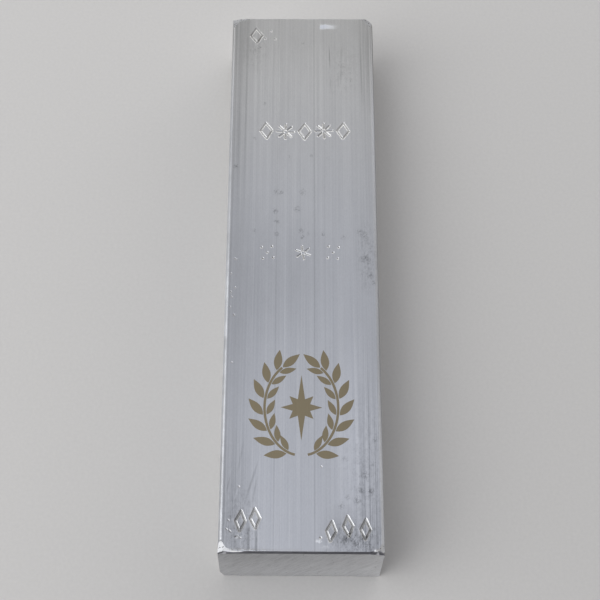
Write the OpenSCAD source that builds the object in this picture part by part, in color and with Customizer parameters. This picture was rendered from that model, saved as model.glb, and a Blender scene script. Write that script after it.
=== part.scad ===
// Metal ingot: a length of flat aluminium bar, sawn off and deburred with a file.
// The bar lies flat on the XY plane. X is its width, Y its length and Z its thickness,
// with the origin under its centre. "Near" is the -Y end and "left" is the -X side.

/* [Stock] */
// Width of the flat bar
bar_width = 50.8; // [30:0.1:100]
// Thickness of the flat bar
bar_thickness = 25.4; // [15:0.1:50]
// Overall length of the sawn piece, along its longest edge
bar_length = 198.7; // [100:0.1:400]
// Radius of the four long edges, as the extrusion die leaves them
edge_radius = 1.2; // [0.4:0.1:2]

/* [Sawn ends] */
// Angle by which the near cut runs out towards the bottom, in degrees
near_end_lean = 2.3; // [0:0.1:4]
// Angle by which the far cut runs back towards the left side, in degrees
far_end_skew = 0.7; // [0:0.1:2]
// Leg of the filed chamfer along the top of the near end
near_chamfer = 0.6; // [0.3:0.1:1.5]
// Leg of the filed chamfer along the top of the far end
far_chamfer = 0.4; // [0.2:0.1:1.5]
// Leg of the deburred edge along the bottom of both ends
bottom_chamfer = 0.3; // [0.1:0.1:1]

/* [Filed corners] */
// How far the file rolls round to each side of a corner's facet, as a share of the way to the edge
file_roll = 0.55; // [0:0.05:0.9]

/* [Near left corner] */
// Reach of the filed facet along the end
near_left_across = 5.8; // [2:0.1:9]
// Reach of the filed facet along the side
near_left_along = 3.0; // [1.5:0.1:6]
// Drop of the filed facet down the corner
near_left_drop = 1.1; // [0.5:0.1:4]
// Reach along the end of the flat where the file ran off below that facet
near_left_slip_across = 10; // [2:0.1:15]
// Reach of that flat along the side
near_left_slip_along = 1.4; // [0.8:0.1:4]
// Drop of that flat down the corner
near_left_slip_drop = 1.4; // [0.8:0.1:4]
// Reach of the knocked-off bottom corner along the end
near_left_foot_across = 1.2; // [0.8:0.1:3]
// Reach of the knocked-off bottom corner along the side
near_left_foot_along = 2.4; // [1:0.1:6]
// Height of the knocked-off bottom corner
near_left_foot_height = 4.6; // [1.5:0.1:8]

/* [Near right corner] */
// Reach of the filed facet along the end
near_right_across = 4.5; // [2:0.1:9]
// Reach of the filed facet along the side
near_right_along = 2.6; // [1:0.1:6]
// Drop of the filed facet down the corner
near_right_drop = 1.5; // [0.5:0.1:4]
// Reach along the end of the flat where the file ran off below that facet
near_right_slip_across = 7; // [2:0.1:15]
// Reach of that flat along the side
near_right_slip_along = 1.7; // [0.8:0.1:4]
// Drop of that flat down the corner
near_right_slip_drop = 1.7; // [0.8:0.1:4]

/* [Far left corner] */
// Reach of the filed facet along the end
far_left_across = 4.9; // [2:0.1:9]
// Reach of the filed facet along the side
far_left_along = 3.4; // [1.5:0.1:6]
// Drop of the filed facet down the corner
far_left_drop = 1.5; // [0.5:0.1:4]

/* [Far right corner] */
// Radius to which the upright corner is rounded over
far_right_radius = 3.6; // [2.2:0.1:6]
// Reach of the filed facet along the end, measured to where the square corner would be
far_right_across = 4.5; // [3:0.1:9]
// Reach of the filed facet along the side, measured likewise
far_right_along = 4.8; // [3:0.1:9]
// Drop of the filed facet, measured likewise
far_right_drop = 1.1; // [0.5:0.1:5]

/* [Hidden] */

$fn = 64;
half_width = bar_width / 2;
half_length = bar_length / 2;
// How far each sawn face runs out of square over the bar's thickness or width
lean_run = bar_thickness * tan(near_end_lean);
skew_run = bar_width * tan(far_end_skew);
// Upper edge of the near cut, where it meets the top face
near_top_y = -half_length + lean_run;
// Outward directions of the two sawn faces
near_face_out = [0, -cos(near_end_lean), sin(near_end_lean)];
far_face_out = [-sin(far_end_skew), cos(far_end_skew), 0];
// Share of its main facet's upper edge by which a corner's side strokes start off the middle
stroke_spacing = 0.12;
// A block this large removes everything beyond a cutting plane
block = bar_length + bar_width + bar_thickness;
overcut = 1;

function far_y(x) = half_length - skew_run * (half_width - x) / bar_width;

// Heading of a file stroke to one side of a corner's main facet, part of the way to the edge there
function rolled(heading, side) = heading + file_roll * side * (side > 0 ? 90 - heading : heading);

// Everything on the outer side of a plane through a point
module beyond(point, out) {
    translate(point)
        rotate([0, acos(out.z / norm(out)), atan2(out.y, out.x)])
            translate([-block / 2, -block / 2, 0])
                cube(block);
}

// A filed facet that takes off the tip of a corner, given its three reaches.
// turn holds the signs of the directions in which the corner points.
module facet(corner, turn, across, along, drop) {
    out = [turn.x / across, turn.y / along, turn.z / drop];
    beyond(corner - [turn.x * across, 0, 0], out);
}

// A filed corner: its main facet, and one stroke to each side where the file rolled round.
// The three are equally steep, so the top face ends in a blunt curve at the corner.
module filed_corner(corner, turn, across, along, drop) {
    steepness = norm([1 / across, 1 / along]);
    main_heading = atan2(across, along);
    for (side = [-1, 0, 1]) {
        share = 0.5 + side * stroke_spacing;
        start = corner - [turn.x * across * share, turn.y * along * (1 - share), 0];
        heading = rolled(main_heading, side);
        level_out = steepness * [turn.x * cos(heading), turn.y * sin(heading)];
        beyond(start, [level_out.x, level_out.y, turn.z / drop]);
    }
}

// Cross-section of the bar as extruded, with its rounded edges
module section() {
    inner_width = bar_width - 2 * edge_radius;
    inner_thickness = bar_thickness - 2 * edge_radius;
    translate([-inner_width / 2, 0])
        square([inner_width, bar_thickness]);
    translate([-half_width, edge_radius])
        square([bar_width, inner_thickness]);
    for (x = [-1, 1], z = [edge_radius, bar_thickness - edge_radius])
        translate([x * inner_width / 2, z])
            circle(r = edge_radius);
}

module stock() {
    rotate([90, 0, 0])
        linear_extrude(height = bar_length + 2 * overcut, center = true)
            section();
}

// What the saw takes off at the two ends
module saw_cuts() {
    beyond([0, -half_length, 0], near_face_out);
    beyond([half_width, half_length, 0], far_face_out);
}

// Chamfers filed along the top and bottom edges of the sawn faces
module end_chamfers() {
    beyond([0, near_top_y + near_chamfer, bar_thickness], near_face_out + [0, 0, 1]);
    beyond([half_width, half_length, bar_thickness - far_chamfer], far_face_out + [0, 0, 1]);
    beyond([0, -half_length + bottom_chamfer, 0], near_face_out - [0, 0, 1]);
    beyond([half_width, half_length, bottom_chamfer], far_face_out - [0, 0, 1]);
}

module corner_facets() {
    filed_corner([-half_width, near_top_y, bar_thickness], [-1, -1, 1],
        near_left_across, near_left_along, near_left_drop);
    facet([-half_width, near_top_y, bar_thickness], [-1, -1, 1],
        near_left_slip_across, near_left_slip_along, near_left_slip_drop);
    facet([-half_width, -half_length, 0], [-1, -1, -1],
        near_left_foot_across, near_left_foot_along, near_left_foot_height);
    filed_corner([half_width, near_top_y, bar_thickness], [1, -1, 1],
        near_right_across, near_right_along, near_right_drop);
    facet([half_width, near_top_y, bar_thickness], [1, -1, 1],
        near_right_slip_across, near_right_slip_along, near_right_slip_drop);
    filed_corner([-half_width, far_y(-half_width), bar_thickness], [-1, 1, 1],
        far_left_across, far_left_along, far_left_drop);
    facet([half_width, half_length, bar_thickness], [1, 1, 1],
        far_right_across, far_right_along, far_right_drop);
}

// Material outside the rounded upright corner at the far right.
// The rounding meets both the side and the skewed end without a step.
module far_right_rounding() {
    sine = sin(far_end_skew);
    back = far_right_radius * (1 + sine) / cos(far_end_skew);
    size = far_right_radius + overcut;
    translate([half_width - far_right_radius, half_length - back, -overcut])
        difference() {
            translate([-far_right_radius * sine, 0, 0])
                cube([2 * size, size, bar_thickness + 2 * overcut]);
            translate([0, 0, -overcut])
                cylinder(r = far_right_radius, h = bar_thickness + 4 * overcut);
        }
}

module sawn_bar() {
    difference() {
        stock();
        saw_cuts();
    }
}

module chamfered_bar() {
    difference() {
        sawn_bar();
        end_chamfers();
    }
}

module ingot() {
    color([0.67, 0.68, 0.71])
        difference() {
            chamfered_bar();
            corner_facets();
            far_right_rounding();
        }
}

ingot();
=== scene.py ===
import math
import bmesh
import bpy
import numpy as np
from mathutils import Matrix, Vector, noise


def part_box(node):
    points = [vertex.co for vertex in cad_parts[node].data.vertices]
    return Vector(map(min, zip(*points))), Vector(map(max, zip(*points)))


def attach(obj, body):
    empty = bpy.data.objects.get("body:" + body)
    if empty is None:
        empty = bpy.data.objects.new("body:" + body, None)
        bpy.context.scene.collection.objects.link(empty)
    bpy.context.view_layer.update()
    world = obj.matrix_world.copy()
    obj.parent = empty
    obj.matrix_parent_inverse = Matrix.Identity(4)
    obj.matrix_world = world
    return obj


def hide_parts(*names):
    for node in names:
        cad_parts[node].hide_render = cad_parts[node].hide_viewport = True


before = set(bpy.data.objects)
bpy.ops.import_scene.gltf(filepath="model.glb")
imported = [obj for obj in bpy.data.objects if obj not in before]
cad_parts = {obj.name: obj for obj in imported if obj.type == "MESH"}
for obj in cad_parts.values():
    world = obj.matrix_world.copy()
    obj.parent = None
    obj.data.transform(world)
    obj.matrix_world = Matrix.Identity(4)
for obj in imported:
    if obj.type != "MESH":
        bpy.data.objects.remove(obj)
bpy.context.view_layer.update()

# The blank is a length of extruded flat bar in mill-finish aluminium. The die leaves its
# four long edges rounded. A saw cuts it off at both ends, and neither cut is quite square:
# the near one runs out towards the bottom, the far one runs back towards the left side.
mm = 0.001
_, bar_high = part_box("ingot")
half_width = bar_high.x
thickness = bar_high.z
half_length = 99.35 * mm
edge_radius = 1.2 * mm
edge_steps = 8
row_pitch = 1.0 * mm
end_clearance = 2.85 * mm
saw_waste = 2.0 * mm
near_lean = math.radians(2.3)
far_skew = math.radians(0.7)
touch = 0.0001 * mm
SKIN, SAWN, FILED, EDGED = range(4)

near_top_y = -half_length + thickness * math.tan(near_lean)
near_out = Vector((0, -math.cos(near_lean), math.sin(near_lean)))
far_out = Vector((-math.sin(far_skew), math.cos(far_skew), 0))
up = Vector((0, 0, 1))

bar = bmesh.new()


def far_y(x):
    return half_length - (half_width - x) * math.tan(far_skew)


def section_points():
    """Points round the bar's cross-section, with an arc at each of its four edges."""
    across = half_width - edge_radius
    over = thickness - edge_radius
    corners = [(across, edge_radius), (across, over), (-across, over), (-across, edge_radius)]
    for quarter, (x, z) in enumerate(corners):
        for step in range(edge_steps + 1):
            angle = math.radians(90 * (quarter - 1 + step / edge_steps))
            yield x + edge_radius * math.cos(angle), z + edge_radius * math.sin(angle)


def extrude_blank():
    """Draws the bar through the die, ring after ring, a little longer than it is cut."""
    outline = list(section_points())
    first_row = -half_length + end_clearance
    row_count = round(-2 * first_row / row_pitch)
    rows = [first_row + i * row_pitch for i in range(row_count + 1)]
    stretch = [-half_length - saw_waste, *rows, half_length + saw_waste]
    rings = [[bar.verts.new((x, y, z)) for x, z in outline] for y in stretch]
    for ring, following in zip(rings, rings[1:]):
        for i in range(len(outline)):
            bar.faces.new((ring[i - 1], ring[i], following[i], following[i - 1]))
    bar.faces.new(rings[0])
    bar.faces.new(rings[-1])


def take_off(point, out, skin):
    """Saws or files away all that lies outside a plane and closes the cut with one flat."""
    everything = bar.verts[:] + bar.edges[:] + bar.faces[:]
    cut = bmesh.ops.bisect_plane(
        bar, geom=everything, dist=touch, plane_co=point, plane_no=out, clear_outer=True)
    rim = [part for part in cut["geom_cut"] if isinstance(part, bmesh.types.BMEdge)]
    for flat in bmesh.ops.edgeloop_fill(bar, edges=rim)["faces"]:
        flat.material_index = skin


extrude_blank()
take_off(Vector((0, -half_length, 0)), near_out, SAWN)
take_off(Vector((half_width, half_length, 0)), far_out, SAWN)

# The burrs are taken off with a hand file: a chamfer along the top and bottom of each cut,
# three corners blunted with a few strokes each, a knocked-off foot, and one upright corner
# rounded over, with a flat on top of it.
near_chamfer = 0.6 * mm
far_chamfer = 0.4 * mm
bottom_chamfer = 0.3 * mm
rounding_radius = 3.6 * mm
rounding_strokes = 10
file_roll = 0.55
stroke_spacing = 0.12
crisp_angle = math.radians(12.5)
# How far each filed flat reaches across the end, along the side and down, in mm
near_left_reach = (5.8, 3.0, 1.1)
near_left_slip = (10.0, 1.4, 1.4)
near_right_reach = (4.5, 2.6, 1.5)
near_right_slip = (7.0, 1.7, 1.7)
far_left_reach = (4.9, 3.4, 1.5)
far_right_reach = (4.5, 4.8, 1.1)
foot_reach = (1.2, 2.4, 4.6)


def file_flat(corner, turn, reach, skin=FILED):
    """Takes the tip off a corner, given how far the flat reaches along its three edges in mm."""
    across, along, drop = (length * mm for length in reach)
    out = Vector((turn[0] / across, turn[1] / along, turn[2] / drop))
    take_off(corner - Vector((turn[0] * across, 0, 0)), out, skin)


def file_corner(corner, turn, reach):
    """Blunts a corner: a main flat, and an equally steep stroke rolled round to each side."""
    across, along, drop = (length * mm for length in reach)
    steepness = math.hypot(1 / across, 1 / along)
    main_heading = math.atan2(across, along)
    for side in (-1, 0, 1):
        share = 0.5 + side * stroke_spacing
        start = corner - Vector((turn[0] * across * share, turn[1] * along * (1 - share), 0))
        to_edge = math.pi / 2 - main_heading if side > 0 else main_heading
        heading = main_heading + file_roll * side * to_edge
        level = steepness * Vector((turn[0] * math.cos(heading), turn[1] * math.sin(heading), 0))
        take_off(start, level + up / drop, FILED)


def round_over():
    """Rounds the far right corner with one file stroke after another."""
    back = rounding_radius * (1 + math.sin(far_skew)) / math.cos(far_skew)
    centre = Vector((half_width - rounding_radius, half_length - back, 0))
    turn = math.pi / 2 + far_skew
    for stroke in range(rounding_strokes):
        angle = turn * (stroke + 0.5) / rounding_strokes
        out = Vector((math.cos(angle), math.sin(angle), 0))
        take_off(centre + rounding_radius * out, out, SAWN)


take_off(Vector((0, near_top_y + near_chamfer, thickness)), near_out + up, EDGED)
take_off(Vector((half_width, half_length, thickness - far_chamfer)), far_out + up, EDGED)
take_off(Vector((0, -half_length + bottom_chamfer, 0)), near_out - up, FILED)
take_off(Vector((half_width, half_length, bottom_chamfer)), far_out - up, FILED)
near_left_corner = Vector((-half_width, near_top_y, thickness))
near_right_corner = Vector((half_width, near_top_y, thickness))
far_left_corner = Vector((-half_width, far_y(-half_width), thickness))
far_right_corner = Vector((half_width, half_length, thickness))
near_left_foot = Vector((-half_width, -half_length, 0))
file_corner(near_left_corner, (-1, -1, 1), near_left_reach)
file_flat(near_left_corner, (-1, -1, 1), near_left_slip, EDGED)
file_corner(near_right_corner, (1, -1, 1), near_right_reach)
file_flat(near_right_corner, (1, -1, 1), near_right_slip, EDGED)
file_corner(far_left_corner, (-1, 1, 1), far_left_reach)
file_flat(near_left_foot, (-1, -1, -1), foot_reach)
round_over()
file_flat(far_right_corner, (1, 1, 1), far_right_reach)
bmesh.ops.recalc_face_normals(bar, faces=bar.faces)
for edge in bar.edges:
    edge.smooth = edge.calc_face_angle(0) < crisp_angle

# The saw leaves each end uneven, with marks that slant across it, and the file meets the
# cut in a ragged line. A fringe of burr stays along the bottom of each end.
near_end_depth = 5 * mm
far_end_depth = 8 * mm
end_reach = 25 * mm
end_facing = 0.99
saw_pitch = 0.6 * mm
saw_slant = math.radians(56)
saw_depth = 0.05 * mm
saw_mark_width = 1.7 * mm
saw_mark_length = 9.0 * mm
ragged_height = 0.16 * mm
ragged_pitch = 1.5 * mm
fringe_reach = 0.2 * mm


def score(chosen, axis, start, stop, pitch):
    """Divides the chosen faces with even cuts across an axis, so that they can take relief."""
    out = Vector((axis == 0, axis == 1, axis == 2))
    count = round((stop - start) / pitch)
    for i in range(count + 1):
        faces = [face for face in bar.faces if chosen(face)]
        edges = {edge for face in faces for edge in face.edges}
        verts = {vert for face in faces for vert in face.verts}
        place = out * (start + (stop - start) * i / count)
        bmesh.ops.bisect_plane(
            bar, geom=faces + list(edges) + list(verts), dist=touch, plane_co=place, plane_no=out)


def roughen_end(out, seed):
    """Lowers and raises the points of a sawn face, and frays the line where the file met it."""
    for vert in bar.verts:
        ends = [face for face in vert.link_faces if face.normal.dot(out) > end_facing]
        if not ends:
            continue
        along = vert.co.x * math.cos(saw_slant) + vert.co.z * math.sin(saw_slant)
        across = vert.co.z * math.cos(saw_slant) - vert.co.x * math.sin(saw_slant)
        mark = noise.noise((along / saw_mark_length, across / saw_mark_width, seed))
        fray = noise.noise((vert.co.x / ragged_pitch, seed, 0))
        filed = any(face.material_index in (FILED, EDGED) for face in vert.link_faces)
        if len(ends) == len(vert.link_faces):
            vert.co += out * saw_depth * (mark - 0.5)
        elif filed and vert.co.z > thickness / 2:
            vert.co.z += ragged_height * fray
        elif filed:
            vert.co += out * fringe_reach * max(0, fray)


def at_near_end(face):
    return face.material_index != SKIN and face.calc_center_median().y < -half_length + near_end_depth


def at_far_end(face):
    return face.material_index != SKIN and face.calc_center_median().y > half_length - far_end_depth


for at_end, out, seed in ((at_near_end, near_out, 3.3), (at_far_end, far_out, 8.1)):
    score(at_end, 0, -end_reach, end_reach, saw_pitch)
    score(at_end, 2, saw_pitch, thickness - 2 * saw_pitch, saw_pitch)
    bar.normal_update()
    roughen_end(out, seed)

# Marks are struck into the top with hand punches, a quarter of an inch tall. Each stroke is
# a groove that pushes up a low lip on both sides, and no two blows are quite even. They are
# plain smith's ornaments: lozenges, stars and dots. Knocks and burrs lie near the corners.
top_reach = 24 * mm
level_facing = 0.9999
cell = 1.0 * mm
fine_cuts = 7
weld = 0.02 * mm
lip_reach = 1.0 * mm
punch_height = 6.4 * mm
stroke_half_width = 0.42 * mm
stroke_depth = 0.24 * mm
wall_slope = 1.25
lip_share = 0.08
lip_middle = 1.25
lip_width = 0.55
strokes = []


def strike(points, centre, tilt=0, lean=(0, 0), half=stroke_half_width, depth=stroke_depth):
    """Adds the grooves between pairs of points, turned by tilt and deeper on the lean side."""
    turned = Matrix.Rotation(math.radians(tilt), 2)
    for pair in points:
        ends = []
        for point in pair:
            place = turned @ Vector(point)
            deeper = 1 + (lean[0] * place.x + lean[1] * place.y) / punch_height
            ends.append((place.x + centre[0] * mm, place.y + centre[1] * mm, depth * deeper))
        strokes.append((ends[0], ends[1], half))


def lozenge(width, height):
    tips = [(0, height / 2), (width / 2, 0), (0, -height / 2), (-width / 2, 0)]
    return [(tips[i - 1], tips[i]) for i in range(4)]


def star(points, inner, outer):
    rays = []
    for i in range(points):
        angle = math.radians(90 + 360 * i / points)
        ray = Vector((math.cos(angle), math.sin(angle)))
        rays.append((inner * ray, outer * ray))
    return rays


def dots(*places):
    return [(Vector(place) * mm, Vector(place) * mm) for place in places]


quincunx = dots((0, 0), (1.7, 2.1), (-1.7, 2.1), (1.7, -2.1), (-1.7, -2.1))
three_dots = dots((0, 2.2), (1.8, -1.2), (-1.8, -1.2))
narrow = lozenge(3.0 * mm, punch_height)
wide = lozenge(4.2 * mm, punch_height)
eight_rays = star(8, 0.9 * mm, 2.9 * mm)
six_rays = star(6, 0.8 * mm, 2.5 * mm)

strike(wide, (-16.6, 91.2), tilt=4, lean=(0.5, -0.7))
strike(three_dots, (-11.6, 91.0), tilt=-5, lean=(0, -0.6))
for i, x in enumerate((-12.6, -5.9, 0.8, 7.5, 14.2)):
    mark = eight_rays if i % 2 else wide
    place = (x, 51.0 + 0.3 * math.sin(5 * i))
    strike(mark, place, tilt=3 * math.cos(4 * i), lean=(0.3 * math.cos(i), -0.3))
strike(quincunx, (-11.6, 3.4), tilt=6, lean=(0.4, 0.2))
strike(six_rays, (0.3, 3.5), tilt=8, half=0.34 * mm, depth=0.18 * mm)
strike(quincunx, (10.4, 3.6), tilt=-4, lean=(-0.3, 0.3))
strike(narrow, (-18.7, -88.4), tilt=-3, lean=(0.2, 0.3))
strike(narrow, (-14.2, -87.6), tilt=3, lean=(0.5, -0.4))
strike(dots((0, 0)), (5.8, -93.5))
strike(narrow, (9.1, -91.4), tilt=-5, lean=(0.3, -0.5))
strike(narrow, (14.3, -89.8), tilt=4, lean=(-0.4, -0.4))
strike(narrow, (19.6, -90.8), tilt=-2, lean=(-0.5, 0.4))

knock_half_width = 0.3 * mm
knock_depth = 0.07 * mm
knocks = [
    ((-23.0, -90.8), (-22.8, -91.1)), ((-22.0, -91.4), (-21.6, -91.8)), ((-20.1, -93.2), (-19.4, -93.0)),
    ((-18.9, -93.6), (-18.5, -93.7)), ((-22.4, -88.1), (-22.3, -88.3)), ((-19.5, -77.4), (-19.3, -77.7)),
    ((-22.4, -19.2), (-22.2, -19.8)), ((-22.7, -36.2), (-22.5, -36.3)), ((-22.6, 1.2), (-21.9, 0.8)),
    ((-23.6, -4.3), (-23.5, -4.5)), ((-22.2, -9.5), (-22.0, -9.7)), ((-23.5, -11.1), (-23.4, -11.4)),
    ((-23.2, -12.9), (-23.1, -13.1)), ((-23.6, -16.6), (-23.5, -16.8)), ((6.0, -70.8), (6.2, -71.0)),
]
for start, end in knocks:
    strike([(Vector(start) * mm, Vector(end) * mm)], (0, 0), half=knock_half_width, depth=knock_depth)

# A burr stands up along the near edge, highest at its two ends
burr_half_width = 0.34 * mm
burrs = [
    ((-21.0, -97.3), (-17.0, -97.4), 0.10), ((-17.0, -97.4), (-9.0, -97.5), 0.09),
    ((-9.0, -97.5), (-1.0, -97.5), 0.07), ((-1.0, -97.5), (9.0, -97.5), 0.04),
    ((22.7, -97.4), (23.9, -97.0), 0.12),
]
for start, end, height in burrs:
    strike([(Vector(start) * mm, Vector(end) * mm)], (0, 0), half=burr_half_width, depth=-height * mm)


def is_top(face):
    return face.normal.z > level_facing


def stroke_distance(x, y, stroke):
    """Distance from points to a stroke's centre line, and how far along it they are."""
    (x0, y0, _), (x1, y1, _), _ = stroke
    length = math.hypot(x1 - x0, y1 - y0)
    along = np.zeros_like(x)
    if length > 0:
        along = np.clip(((x - x0) * (x1 - x0) + (y - y0) * (y1 - y0)) / length ** 2, 0, 1)
    return np.hypot(x - x0 - along * (x1 - x0), y - y0 - along * (y1 - y0)), along


def relief(x, y):
    """Height that the blows give to points of the top face."""
    groove = np.zeros_like(x)
    raised = np.zeros_like(x)
    for stroke in strokes:
        (_, _, depth0), (_, _, depth1), half = stroke
        away, along = stroke_distance(x, y, stroke)
        depth = depth0 + (depth1 - depth0) * along
        wall = np.clip(wall_slope * (1 - away / half), 0, 1)
        lip = depth * lip_share * np.exp(-((away / half - lip_middle) / lip_width) ** 2)
        groove = np.maximum(groove, depth * wall)
        raised = np.maximum(raised, np.where(depth > 0, lip, -depth * wall))
    return np.where(groove > 0, -groove, raised)


score(is_top, 0, -top_reach, top_reach, cell)
bar.normal_update()
top_cells = [face for face in bar.faces if is_top(face)]
middles = np.array([face.calc_center_median() for face in top_cells])
reached = np.zeros(len(top_cells), bool)
for stroke in strokes:
    away, _ = stroke_distance(middles[:, 0], middles[:, 1], stroke)
    reached |= away < stroke[2] + lip_reach
struck_edges = {edge for face, hit in zip(top_cells, reached) if hit for edge in face.edges}
bmesh.ops.subdivide_edges(bar, edges=list(struck_edges), cuts=fine_cuts, use_grid_fill=True)
top_verts = [vert for vert in bar.verts if vert.co.z > thickness - touch]
top_places = np.array([vert.co for vert in top_verts])
heights = relief(top_places[:, 0], top_places[:, 1])
for vert, height in zip(top_verts, heights):
    vert.co.z += height
bmesh.ops.remove_doubles(bar, verts=bar.verts, dist=weld)
bmesh.ops.triangulate(bar, faces=[face for face in bar.faces if len(face.verts) > 4])
for face in bar.faces:
    face.smooth = True


def make_object(name, shape):
    """Turns a finished shape into an object of the scene."""
    mesh = bpy.data.meshes.new(name)
    shape.to_mesh(mesh)
    shape.free()
    made = bpy.data.objects.new(name, mesh)
    bpy.context.scene.collection.objects.link(made)
    return made


ingot = make_object("ingot_bar", bar)
bar_mesh = ingot.data
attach(ingot, "root")
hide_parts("ingot")

# The skin is bare aluminium as the die left it, drawn with fine lines along the bar. It is
# painted darker towards its sides as painted shade, and its rounded edges carry painted
# highlights and painted shade. Handling has rubbed a few places bright, spotted the top with
# oxide, and scuffed and scratched it near the corners.
# The skin's colour is a painted reflection: it passes from a bluish grey at the near end to a warmer
# grey at the far end, and takes a bluer grey on the rounded edges.
metal_warm = (0.734, 0.731, 0.719, 1)
metal_blue = (0.715, 0.722, 0.737, 1)
edge_reflection_colour = (0.69, 0.712, 0.752, 1)
skin_tone = 0.73
skin_roughness = 0.25
line_size = (0.38, 110, 0.38)
band_size = (2.4, 400, 2.4)
grain_size = (0.3, 0.8, 0.3)
blot_size = (0.6, 3.0, 0.6)
mottle_size = (4.0, 8.0, 4.0)
speck_size = (0.45, 0.5, 0.45)
pit_size = (0.5, 0.8, 0.5)
cloud_size = (1.5, 2.2, 1.5)
highlight_blob_size = (40, 9, 40)
line_relief = 0.006 * mm
wander_scale = 1.5
wander_reach = (1.5, 1.8, 0)
stain_reach = 4.0
spot_spread = (1.3, 1.5)
spot_strength = 1.4
score_half_length = 900
top_z = thickness / mm


def add(tree, kind, *inputs, **settings):
    """Adds a node to a finish, and sets its inputs in order or joins them to other nodes."""
    made = tree.nodes.new("ShaderNode" + kind)
    for name, value in settings.items():
        setattr(made, name, value)
    for socket, value in zip(made.inputs, inputs):
        if isinstance(value, bpy.types.NodeSocket):
            tree.links.new(value, socket)
        elif value is not None:
            socket.default_value = value
    return made.outputs[0]


def sums(tree, operation, *values):
    """One step of arithmetic with values or patterns."""
    return add(tree, "Math", *values, operation=operation)


def overlap(tree, first, *others):
    """Where all of the patterns show: their product."""
    shared = first
    for other in others:
        shared = sums(tree, "MULTIPLY", shared, other)
    return shared


def weighted(tree, start, parts):
    """A start value, to which each pattern is added with its strength."""
    total = start
    for pattern, strength in parts:
        total = sums(tree, "MULTIPLY_ADD", pattern, strength, total)
    return total


def coordinates(tree, place):
    """The x, y and z of a place."""
    split = tree.nodes.new("ShaderNodeSeparateXYZ")
    tree.links.new(place, split.inputs[0])
    return split.outputs


def ramp(tree, value, start, stop):
    """Rises softly from 0 to 1 as a value goes from start to stop."""
    return add(tree, "MapRange", value, start, stop, 0.0, 1.0, interpolation_type="SMOOTHSTEP")


def streaks(tree, place, size, detail, slant=(0, 0, 0)):
    """Noise whose grains have a size in mm, drawn out along the bar or along a slant."""
    drawn = add(tree, "Mapping", place, (0, 0, 0), slant, size, vector_type="TEXTURE")
    return add(tree, "TexNoise", drawn, None, 1.0, detail, 0.6)


def ovals(tree, place, marks):
    """Soft oval marks on the top, summed. Each has a place, a half size, a turn and a strength."""
    fades = []
    for centre, half, turn, strength in marks:
        oval = add(tree, "Mapping", place, (*centre, top_z), (0, 0, math.radians(turn)),
                   (*half, stain_reach), vector_type="TEXTURE")
        fades.append((add(tree, "TexGradient", oval, gradient_type="SPHERICAL"), strength))
    return weighted(tree, 0.0, fades)


def line_between(start, end, half, strength):
    """A scratch as an oval mark: its middle, half its size, its turn and its strength."""
    run = Vector(end) - Vector(start)
    middle = (Vector(start) + Vector(end)) / 2
    return tuple(middle), (half, run.length / 2), math.degrees(math.atan2(-run.x, run.y)), strength


def start_finish(name, mesh):
    """Makes a bare metal finish for a mesh. Gives its nodes, its shader and its places in mm."""
    finish = bpy.data.materials.new(name)
    finish.use_nodes = True
    mesh.materials.append(finish)
    tree = finish.node_tree
    shader = tree.nodes["Principled BSDF"]
    shader.inputs["Metallic"].default_value = 1
    local = tree.nodes.new("ShaderNodeTexCoord").outputs["Object"]
    return tree, shader, add(tree, "VectorMath", local, None, None, 1 / mm, operation="SCALE")


def blend_colours(tree, amount, first, second):
    """Passes from the first colour to the second as an amount goes from 0 to 1."""
    mix = tree.nodes.new("ShaderNodeMix")
    mix.data_type = "RGBA"
    tree.links.new(amount, mix.inputs[0])
    for colour, socket in ((first, mix.inputs[6]), (second, mix.inputs[7])):
        if isinstance(colour, bpy.types.NodeSocket):
            tree.links.new(colour, socket)
        else:
            socket.default_value = colour
    return mix.outputs[2]


def tint(tree, shader, colour, tone):
    """Gives a finish its colour, made lighter or darker by a tone."""
    toned = add(tree, "VectorMath", colour, None, None, tone, operation="SCALE")
    tree.links.new(toned, shader.inputs["Base Color"])


# Scores of the die: how far across, half a width and a depth of tone
die_scores = [
    (-8.6, 0.3, 0.10), (4.1, 0.34, 0.15), (7.6, 0.3, 0.06), (10.3, 0.3, 0.05), (-5.6, 0.4, -0.05),
]
# Spots of oxide: a place, half a size and a depth of tone
oxide_spots = [
    ((-8.8, 26.5), 1.0, 0.26), ((-7.2, 26.3), 0.8, 0.24), ((0.1, 26.5), 1.1, 0.22),
    ((-9.1, 19.2), 0.9, 0.30), ((-1.6, 20.0), 1.1, 0.26), ((-9.2, 15.7), 0.6, 0.28),
    ((-8.3, 15.0), 0.6, 0.26), ((-16.2, 11.4), 0.6, 0.24), ((-8.6, 10.4), 0.8, 0.24),
    ((-0.4, 11.8), 0.9, 0.20), ((2.0, 10.5), 0.6, 0.22), ((0.1, 9.2), 0.7, 0.28),
    ((7.0, 10.6), 0.7, 0.32), ((13.8, 9.3), 0.9, 0.18), ((19.4, 11.5), 1.0, 0.20),
    ((21.0, 10.3), 1.2, 0.22), ((20.9, 1.7), 1.2, 0.28), ((22.8, -4.6), 1.0, 0.24),
    ((23.7, -7.5), 0.8, 0.24), ((17.2, 72.3), 0.6, 0.34), ((-4.4, 40.5), 0.6, 0.16),
    ((3.2, 41.0), 0.6, 0.16), ((8.9, 40.2), 0.6, 0.16), ((0.1, 88.0), 0.5, 0.28),
    ((-13.4, 62.4), 0.6, 0.18), ((-16.5, 48.0), 0.6, 0.20), ((-23.0, 36.6), 0.8, 0.24),
    ((-15.5, 86.0), 0.8, 0.18), ((19.8, -73.6), 1.1, 0.28), ((18.5, -78.4), 1.2, 0.28),
    ((21.3, -79.0), 1.0, 0.26), ((17.2, -81.6), 1.1, 0.30), ((14.1, -80.7), 0.8, 0.22),
    ((12.3, -83.5), 1.0, 0.24), ((13.7, -94.1), 1.6, 0.24), ((16.7, -95.6), 1.5, 0.26),
    ((20.3, -96.2), 1.3, 0.24), ((13.3, -68.5), 0.9, 0.18), ((23.2, -62.0), 0.8, 0.22),
    ((22.2, -70.0), 0.8, 0.20),
]
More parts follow.
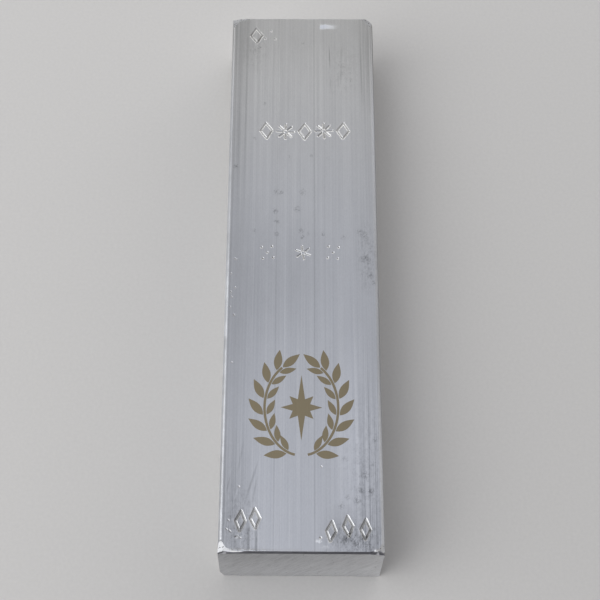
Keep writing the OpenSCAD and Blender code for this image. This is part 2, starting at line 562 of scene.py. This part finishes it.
# Scratches: two ends, half a width and a depth of tone, which is negative for the bright ones
scratches_along = [
    ((9.5, 88.4), (9.8, 76.6), 0.34, 0.30), ((9.9, 76.0), (10.0, 66.0), 0.3, 0.12),
    ((-13.2, -68.0), (-17.6, -83.4), 0.5, 0.24), ((-13.7, -73.8), (-15.1, -82.8), 0.4, 0.20),
    ((-22.1, -72.3), (-23.2, -80.3), 0.5, 0.20), ((-16.2, -86.5), (-16.1, -103.0), 0.8, 0.36),
    ((-13.8, -88.0), (-13.7, -103.0), 0.6, 0.36), ((-20.4, -92.0), (-19.6, -98.0), 0.7, 0.18),
    ((-18.0, -62.0), (-20.0, -74.0), 0.5, 0.14), ((14.0, 80.0), (13.4, 70.0), 0.4, 0.16),
    ((14.2, 88.0), (13.6, 78.0), 0.5, 0.12), ((12.9, 76.0), (12.6, 67.0), 0.4, 0.12),
    ((23.0, 95.0), (23.4, 60.0), 0.8, 0.07), ((20.6, 92.0), (21.4, 58.0), 0.5, 0.14),
    ((-21.6, -70.9), (-23.6, -79.6), 0.3, -0.14), ((-19.0, -76.0), (-21.4, -84.0), 0.3, -0.10),
]
# Scuffed and rubbed places, and patches of darker tone, lighter where the strength is
# negative: a middle, half a size, a turn and a strength
scuffed_places = [((20.0, -74.0), (9.0, 34.0), 0, 1.0), ((15.5, -93.5), (10.5, 7.0), 0, 2.3),
                  ((21.8, 2.0), (4.5, 16.0), 0, 1.4), ((-18.5, -91.0), (8.0, 17.0), 0, 1.5),
                  ((14.5, 76.0), (7.0, 15.0), 0, 0.7), ((-17.0, 85.0), (6.0, 11.0), 0, 0.8)]
tone_patch_places = [((-17.0, -12.0), (11.0, 44.0), 0, 0.12), ((-23.5, -84.0), (6.0, 28.0), 0, 0.07),
               ((17.5, -62.0), (9.0, 40.0), 0, -0.20), ((-3.0, -6.0), (17.0, 30.0), 0, 0.11),
               ((13.0, -91.0), (9.0, 9.0), 0, 0.16)]
rubbed_places = [((5.2, -94.6), (1.7, 0.9), 0, 0.9), ((7.2, -96.4), (2.0, 0.7), 0, 0.6),
                 ((-19.4, -93.5), (1.7, 0.9), 20, 0.7), ((-20.5, -98.0), (6.5, 1.0), 0, 2.2),
                 line_between((22.7, -97.5), (24.0, -97.0), 0.4, 1.4)]
# Bounds of a smear, rubbed bright at the far end
smear_left, smear_right = 6.3, 13.2
smear_near, smear_far = 94.3, 96.5

skin, skin_shader, place = start_finish("mill_skin", bar_mesh)
across, along, height = coordinates(skin, place)
from_middle = sums(skin, "ABSOLUTE", across)
wander = skin.nodes.new("ShaderNodeTexNoise")
wander.inputs["Scale"].default_value = wander_scale
skin.links.new(place, wander.inputs["Vector"])
shift = add(skin, "VectorMath", wander.outputs["Color"], (-0.5, -0.5, -0.5), operation="ADD")
ragged = add(skin, "VectorMath", shift, wander_reach, place, operation="MULTIPLY_ADD")
ragged_x, ragged_y, _ = coordinates(skin, ragged)

lines = streaks(skin, place, line_size, 2.0)
dark_lines = ramp(skin, lines, 0.62, 0.40)
bands = streaks(skin, place, band_size, 1.0)
grain = streaks(skin, place, grain_size, 1.0)
mottle = streaks(skin, place, mottle_size, 3.0)
blots = ramp(skin, streaks(skin, place, blot_size, 3.0), 0.46, 0.66)
specks = ramp(skin, streaks(skin, place, speck_size, 2.0), 0.40, 0.56)
pits = ramp(skin, streaks(skin, place, pit_size, 2.0), 0.56, 0.66)
clouds = ramp(skin, streaks(skin, place, cloud_size, 3.0), 0.44, 0.62)
# Blotches of the painted highlight on the left rounded edge
highlight_blobs = ramp(skin, streaks(skin, place, highlight_blob_size, 2.0), 0.38, 0.62)

# Marks of the die and of handling
score_marks = [((x, 0), (half, score_half_length), 0, deep) for x, half, deep in die_scores]
scored = ovals(skin, place, score_marks)
spot_marks = [(centre, (half * spot_spread[0], half * spot_spread[1]), 0, deep * spot_strength)
              for centre, half, deep in oxide_spots]
spotted = overlap(skin, ovals(skin, ragged, spot_marks), specks)
scratched = ovals(skin, place, [line_between(*scratch) for scratch in scratches_along])
tone_patches = ovals(skin, ragged, tone_patch_places)
scuffs = ovals(skin, ragged, scuffed_places)
scuffed = overlap(skin, blots, scuffs)
pitted = overlap(skin, pits, scuffs)
clouded = overlap(skin, clouds, scuffs)
struck = overlap(skin, ramp(skin, height, top_z - 0.015, top_z - 0.07),
                 ramp(skin, from_middle, 24.1, 23.9))
smear = overlap(skin, ramp(skin, ragged_x, smear_left - 0.2, smear_left + 0.2),
                ramp(skin, ragged_x, smear_right, smear_left + 1),
                ramp(skin, ragged_y, smear_near - 0.2, smear_near + 0.5),
                ramp(skin, ragged_y, smear_far + 0.2, smear_far - 0.5))
rubbed = sums(skin, "MAXIMUM", smear, ramp(skin, ovals(skin, ragged, rubbed_places), 0.2, 0.8))

# Darker stretches of the top. The darkening towards both sides and towards the far end is
# painted shade, and the thin dark line beside the left rounded edge is a painted reflection.
side_shade = ramp(skin, from_middle, 12.0, 25.0)
far_shade = ramp(skin, along, 66.0, 97.0)
left_strip = ramp(skin, across, -17.5, -20.5)
left_reflection_line = overlap(skin, ramp(skin, across, -23.3, -23.9), ramp(skin, across, -24.7, -24.3))
left_band = overlap(skin, ramp(skin, across, -18.9, -19.5), ramp(skin, along, 10.0, 60.0))
right_band = overlap(skin, ramp(skin, across, 19.2, 21.5), ramp(skin, along, 50.0, 70.0))
near_left_band = overlap(skin, ramp(skin, across, -13.0, -18.0), ramp(skin, along, -45.0, -80.0))
near_right_band = overlap(skin, ramp(skin, across, 14.0, 22.0), ramp(skin, along, -20.0, -60.0))
far_bands = sums(skin, "MAXIMUM", left_band, right_band)
edge_bands = overlap(skin, sums(skin, "MAXIMUM", far_bands, near_left_band), dark_lines)
near_streaks = overlap(skin, near_right_band, dark_lines)

# The rounded long edges, with painted highlights and painted shade. The left edge is painted
# lighter, in blotches, along a stretch near the middle and on its lower part; the right edge
# is painted darker, with a painted highlight over its near half and painted shade on its lower part.
rounded = overlap(skin, ramp(skin, from_middle, 24.1, 24.6), ramp(skin, height, 23.9, 24.4))
left_rounded = overlap(skin, rounded, ramp(skin, across, 1.0, -1.0))
right_rounded = sums(skin, "SUBTRACT", rounded, left_rounded)
left_blob_highlight = overlap(skin, left_rounded, highlight_blobs, ramp(skin, along, 70.0, 5.0))
left_stretch_highlight = overlap(skin, left_rounded, ramp(skin, along, 14.0, -6.0),
                      ramp(skin, along, -27.5, -26.5))
right_near_highlight = overlap(skin, right_rounded, ramp(skin, along, -25.0, -75.0))
low = ramp(skin, height, 25.0, 24.4)
left_low_highlight = overlap(skin, left_rounded, low)
right_low_shade = overlap(skin, right_rounded, low)

# The struck grooves are darkened in the tone below as painted shade.
tone = weighted(skin, skin_tone, [
    (lines, 0.16), (bands, 0.06), (grain, 0.12), (mottle, 0.07),
    (scored, -1), (spotted, -1), (scratched, -1), (tone_patches, -1),
    (scuffed, -0.08), (pitted, -0.13), (clouded, -0.10), (struck, -0.32), (rubbed, 0.16),
    (side_shade, -0.08), (far_shade, -0.13), (left_strip, -0.04), (left_reflection_line, -0.10),
    (far_bands, -0.03), (edge_bands, -0.08), (near_streaks, -0.20),
    (left_rounded, 0.03), (left_blob_highlight, 0.18), (left_stretch_highlight, 0.20), (left_low_highlight, 0.25),
    (right_rounded, -0.22), (right_near_highlight, 0.42), (right_low_shade, -0.20)])
# Painted reflection: bluish towards the near end, warmer towards the far end and bluer on the rounded
# edges; the rubbed places are bluer too.
reflection_warmth = sums(skin, "SUBTRACT", ramp(skin, along, 0.0, 90.0), rubbed)
blue_edge_reflection = overlap(skin, rounded, ramp(skin, along, 125.0, 45.0))
blue_reflection_and_rubbed = sums(skin, "MAXIMUM", blue_edge_reflection, rubbed)
metal = blend_colours(skin, blue_reflection_and_rubbed, blend_colours(skin, reflection_warmth, metal_blue, metal_warm), edge_reflection_colour)
tint(skin, skin_shader, metal, tone)
sheen = weighted(skin, skin_roughness, [
    (lines, 0.16), (left_rounded, 0.08), (right_rounded, 0.26), (struck, 0.17), (rubbed, 0.5)])
skin.links.new(sheen, skin_shader.inputs["Roughness"])
skin.links.new(add(skin, "Bump", 1.0, line_relief, None, lines), skin_shader.inputs["Normal"])

# The ends are as the saw left them, dull and grey. The blade's teeth drew fine scratches that
# slant across each face, among broader patches and a few dark nicks. The grey is a little
# lighter towards the bottom, a painted reflection of the floor, and towards the right.
saw_grey = (0.65, 0.655, 0.668)
saw_tone = 0.78
saw_roughness = 0.5
saw_scratch_size = (0.36, 0.36, 5.0)
saw_patch_size = (2.0, 2.0, 9.0)
saw_nick_size = (0.5, 0.5, 1.6)
saw_relief = 0.03 * mm
sawn, sawn_shader, place = start_finish("sawn_face", bar_mesh)
across, _, height = coordinates(sawn, place)
slant = (0, math.pi / 2 - saw_slant, 0)
scratches = streaks(sawn, place, saw_scratch_size, 3.0, slant)
patches = streaks(sawn, place, saw_patch_size, 2.0, slant)
nicks = ramp(sawn, streaks(sawn, place, saw_nick_size, 2.0, slant), 0.62, 0.72)
# Lighter towards the bottom as a painted reflection of the floor
tone = weighted(sawn, saw_tone, [
    (scratches, 0.58), (patches, 0.3), (nicks, -0.32), (height, -0.014), (across, 0.0042)])
tint(sawn, sawn_shader, saw_grey, tone)
sawn_shader.inputs["Roughness"].default_value = saw_roughness
sawn.links.new(add(sawn, "Bump", 0.6, saw_relief, None, scratches), sawn_shader.inputs["Normal"])

# The filed corners are bare and matt, with the slanting marks of the file's teeth and a few
# dark nicks. Their tones are painted light: the far ones are painted darker than the near
# ones as painted shade, the far right one darker still, and the near right one lighter as a
# painted highlight. The upper tip of the near left one is painted darker, a painted shade
# that ends its highlight, and a thread of burr is left along them.
file_grey = (0.63, 0.638, 0.655)
file_tone = 0.92
file_roughness = 0.62
tooth_size = (0.25, 1.5, 0.25)
tooth_slant = (0, 0, math.radians(35))
nick_size = (0.55, 0.4, 0.5)
corner_burr = [line_between((21.4, -97.8), (24.6, -96.8), 0.45, 1.0),
               line_between((-24.6, -97.7), (-16.0, -97.9), 0.34, 1.0)]
filed, filed_shader, place = start_finish("filed_corner", bar_mesh)
across, along, _ = coordinates(filed, place)
teeth = streaks(filed, place, tooth_size, 2.0, tooth_slant)
nicks = ramp(filed, streaks(filed, place, nick_size, 1.0), 0.60, 0.68)
to_right = ramp(filed, across, -5.0, 5.0)
to_far = ramp(filed, along, -5.0, 5.0)
far_right = overlap(filed, to_right, to_far)
near_right = sums(filed, "SUBTRACT", to_right, far_right)
near_left = overlap(filed, ramp(filed, across, 5.0, -5.0), ramp(filed, along, 5.0, -5.0))
# The upper tip of the near left corner, painted darker as painted shade
painted_tip_shade = overlap(filed, near_left, ramp(filed, along, -95.1, -94.5),
                 ramp(filed, across, -25.1, -24.8))
burr = ramp(filed, ovals(filed, place, corner_burr), 0.2, 0.6)
tone = weighted(filed, file_tone, [
    (teeth, 0.16), (nicks, -0.8), (to_far, -0.43), (far_right, -0.105),
    (near_right, 0.18), (painted_tip_shade, -0.45), (burr, 0.6)])
tint(filed, filed_shader, file_grey, tone)
filed_shader.inputs["Roughness"].default_value = file_roughness

# The filed edges are smoother than the corners, because the file ran along them in long
# strokes. They are painted darker at the far end as painted shade, and matt where the burr
# stands beside them.
edge_grey = (0.60, 0.605, 0.64)
edge_tone = 0.92
edge_roughness = 0.3
edge_tooth_size = (2.5, 0.3, 0.3)
edged, edged_shader, place = start_finish("filed_edge", bar_mesh)
_, along, _ = coordinates(edged, place)
teeth = streaks(edged, place, edge_tooth_size, 3.0)
burr = ramp(edged, ovals(edged, place, corner_burr), 0.2, 0.6)
to_far = ramp(edged, along, -5.0, 5.0)
tone = weighted(edged, edge_tone, [(teeth, 0.5), (burr, 0.5), (to_far, -0.3)])
tint(edged, edged_shader, edge_grey, tone)
sheen = weighted(edged, edge_roughness, [(burr, 0.6)])
edged.links.new(sheen, edged_shader.inputs["Roughness"])

# A laurel wreath round an eight-pointed star is printed on the top in satin gold. The coat
# is thin and lies flat on the skin, and each leaf is a separate patch of it.
print_centre = Vector((-0.1, -51.5)) * mm
coat_height = 0.04 * mm
coat_sink = 0.01 * mm
branch_half_size = (11.7 * mm, 15.9 * mm)
branch_start, branch_end = math.radians(-80), math.radians(58)
stem_half_width = 0.4 * mm
stem_steps = 40
leaf_pairs = 7
leaf_turn = math.radians(34)
leaf_gap = 0.2 * mm
leaf_steps = 9
leaf_belly = 0.85
first_pair = 0.6
outer_leaf = (7.2 * mm, 1.35 * mm)
inner_leaf = (5.6 * mm, 1.0 * mm)
star_radii = (11.0 * mm, 3.0 * mm, 5.4 * mm, 3.0 * mm, 6.6 * mm, 3.0 * mm, 5.4 * mm, 3.0 * mm)

coat = bmesh.new()


def lay_patch(outline):
    """Prints one patch with the given outline, as a closed sheet as thick as the coat."""
    places = [print_centre + Vector(point) for point in outline]
    low = [coat.verts.new((place.x, place.y, thickness - coat_sink)) for place in places]
    high = [coat.verts.new((place.x, place.y, thickness + coat_height)) for place in places]
    coat.faces.new(high)
    coat.faces.new(low)
    for i in range(len(places)):
        coat.faces.new((low[i - 1], low[i], high[i], high[i - 1]))


def branch_point(angle, side):
    """A point on a branch's stem, and the direction in which the branch grows there."""
    across, along = branch_half_size
    place = Vector((side * across * math.cos(angle), along * math.sin(angle)))
    growth = Vector((-side * across * math.sin(angle), along * math.cos(angle)))
    return place, growth.normalized()


def leaf(foot, heading, size):
    """Outline of a pointed leaf that grows from its foot."""
    length, half = size
    sideways = Vector((-heading.y, heading.x))
    shares = [i / leaf_steps for i in range(leaf_steps + 1)]
    spread = [half * math.sin(math.pi * share ** leaf_belly) for share in shares]
    left = [foot + length * share * heading + width * sideways for share, width in zip(shares, spread)]
    right = [foot + length * share * heading - width * sideways for share, width in zip(shares, spread)]
    return left + right[-2:0:-1]


def lay_branch(side):
    """Prints one branch: its stem, its pairs of leaves and the leaf at its tip."""
    sweep = branch_end - branch_start
    stem = [branch_point(branch_start + sweep * i / stem_steps, side) for i in range(stem_steps + 1)]
    edges = []
    for reach in (stem_half_width, -stem_half_width):
        edges.append([place + reach * Vector((-growth.y, growth.x)) for place, growth in stem])
    lay_patch(edges[0] + edges[1][::-1])
    for pair in range(leaf_pairs):
        angle = branch_start + sweep * (pair + first_pair) / leaf_pairs
        place, growth = branch_point(angle, side)
        for hand, size in ((-side, outer_leaf), (side, inner_leaf)):
            heading = Matrix.Rotation(hand * leaf_turn, 2) @ growth
            clear = Vector((-growth.y, growth.x)) * hand * (stem_half_width + leaf_gap)
            lay_patch(leaf(place + clear, heading, size))
    tip, growth = stem[-1]
    lay_patch(leaf(tip + leaf_gap * growth, growth, outer_leaf))


for side in (1, -1):
    lay_branch(side)
star_points = []
for i in range(2 * len(star_radii)):
    radius = star_radii[i % len(star_radii)]
    angle = math.pi / 2 - math.pi * i / len(star_radii)
    star_points.append((radius * math.cos(angle), radius * math.sin(angle)))
lay_patch(star_points)
bmesh.ops.recalc_face_normals(coat, faces=coat.faces)
wreath = make_object("wreath_print", coat)
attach(wreath, "root")

gold_colour = (0.312, 0.262, 0.171)
gold_tone = 0.93
gold_roughness = 0.38
gold, gold_shader, place = start_finish("satin_gold", wreath.data)
lines = streaks(gold, place, line_size, 2.0)
tint(gold, gold_shader, gold_colour, weighted(gold, gold_tone, [(lines, 0.14)]))
gold_shader.inputs["Roughness"].default_value = gold_roughness

# The bar lies on a sheet of pale paper, beside a tall window on its left and facing a bright
# wall beyond its far end. The ceiling is a little blue, and the front of the room is dark.
floor_size = 8.0
paper_colour = (0.554, 0.546, 0.536)
paper_tone = 0.94
paper_roughness = 0.85
fibre_scale = 900.0
floor_shape = bmesh.new()
bmesh.ops.create_grid(floor_shape, x_segments=1, y_segments=1, size=floor_size / 2)
floor = make_object("floor", floor_shape)
paper_finish = bpy.data.materials.new("paper")
paper_finish.use_nodes = True
floor.data.materials.append(paper_finish)
paper = paper_finish.node_tree
paper_shader = paper.nodes["Principled BSDF"]
paper_shader.inputs["Roughness"].default_value = paper_roughness
paper_place = paper.nodes.new("ShaderNodeTexCoord").outputs["Object"]
fibres = add(paper, "TexNoise", paper_place, None, fibre_scale, 3.0, 0.6)
tint(paper, paper_shader, paper_colour, weighted(paper, paper_tone, [(fibres, 0.12)]))

wall_colour = (0.45, 0.44, 0.42, 1)
right_colour = (0.72, 0.69, 0.65, 1)
ceiling_colour = (0.485, 0.51, 0.585, 1)
front_colour = (0.06, 0.06, 0.065, 1)
world = bpy.data.worlds.new("room")
world.use_nodes = True
room = world.node_tree
towards = room.nodes.new("ShaderNodeTexCoord").outputs["Generated"]
to_right, to_back, to_top = coordinates(room, towards)


def room_blend(amount, start, stop, first, second):
    """Passes from one colour of the room to another as a direction goes from start to stop."""
    return blend_colours(room, ramp(room, amount, start, stop), first, second)


walls = room_blend(to_right, 0.2, 0.7, wall_colour, right_colour)
walls = room_blend(to_back, -0.5, 0.1, front_colour, walls)
ceiling = room_blend(to_top, 0.72, 0.95, walls, ceiling_colour)
room.links.new(ceiling, room.nodes["Background"].inputs["Color"])
bpy.context.scene.world = world


def soft_light(name, place, width, height, radiance):
    """A lit panel of the room that faces the bar, as bright all over as its radiance says."""
    panel = bpy.data.lights.new(name, "AREA")
    panel.shape = "RECTANGLE"
    panel.size = width
    panel.size_y = height
    panel.energy = math.pi * radiance * width * height
    lamp = bpy.data.objects.new(name, panel)
    lamp.location = place
    lamp.rotation_euler = (-lamp.location).to_track_quat("-Z", "Y").to_euler()
    bpy.context.scene.collection.objects.link(lamp)


soft_light("window", (-0.66, -0.30, 0.74), width=0.9, height=1.2, radiance=2.5)
soft_light("far_wall", (0.06, 0.64, 0.22), width=1.6, height=0.40, radiance=1.75)

# The camera stands over the near end of the bar and looks down along it, turned a little on
# its own axis. Its place, lens and turn are those that bring the bar's edges where they belong.
camera_place = Vector((-6.96, -195.22, 420.6)) * mm
camera_aim = Vector((-0.66, -13.99, 25.4)) * mm
camera_roll = math.radians(2.38)
camera_data = bpy.data.cameras.new("camera")
camera_data.lens = 79.26
camera_data.sensor_width = 36
camera = bpy.data.objects.new("camera", camera_data)
camera.rotation_mode = "QUATERNION"
camera.location = camera_place
looking = (camera_aim - camera_place).to_track_quat("-Z", "Y")
camera.rotation_quaternion = looking @ Matrix.Rotation(camera_roll, 3, "Z").to_quaternion()
bpy.context.scene.collection.objects.link(camera)
bpy.context.scene.camera = camera
bpy.context.scene.view_settings.view_transform = "Standard"
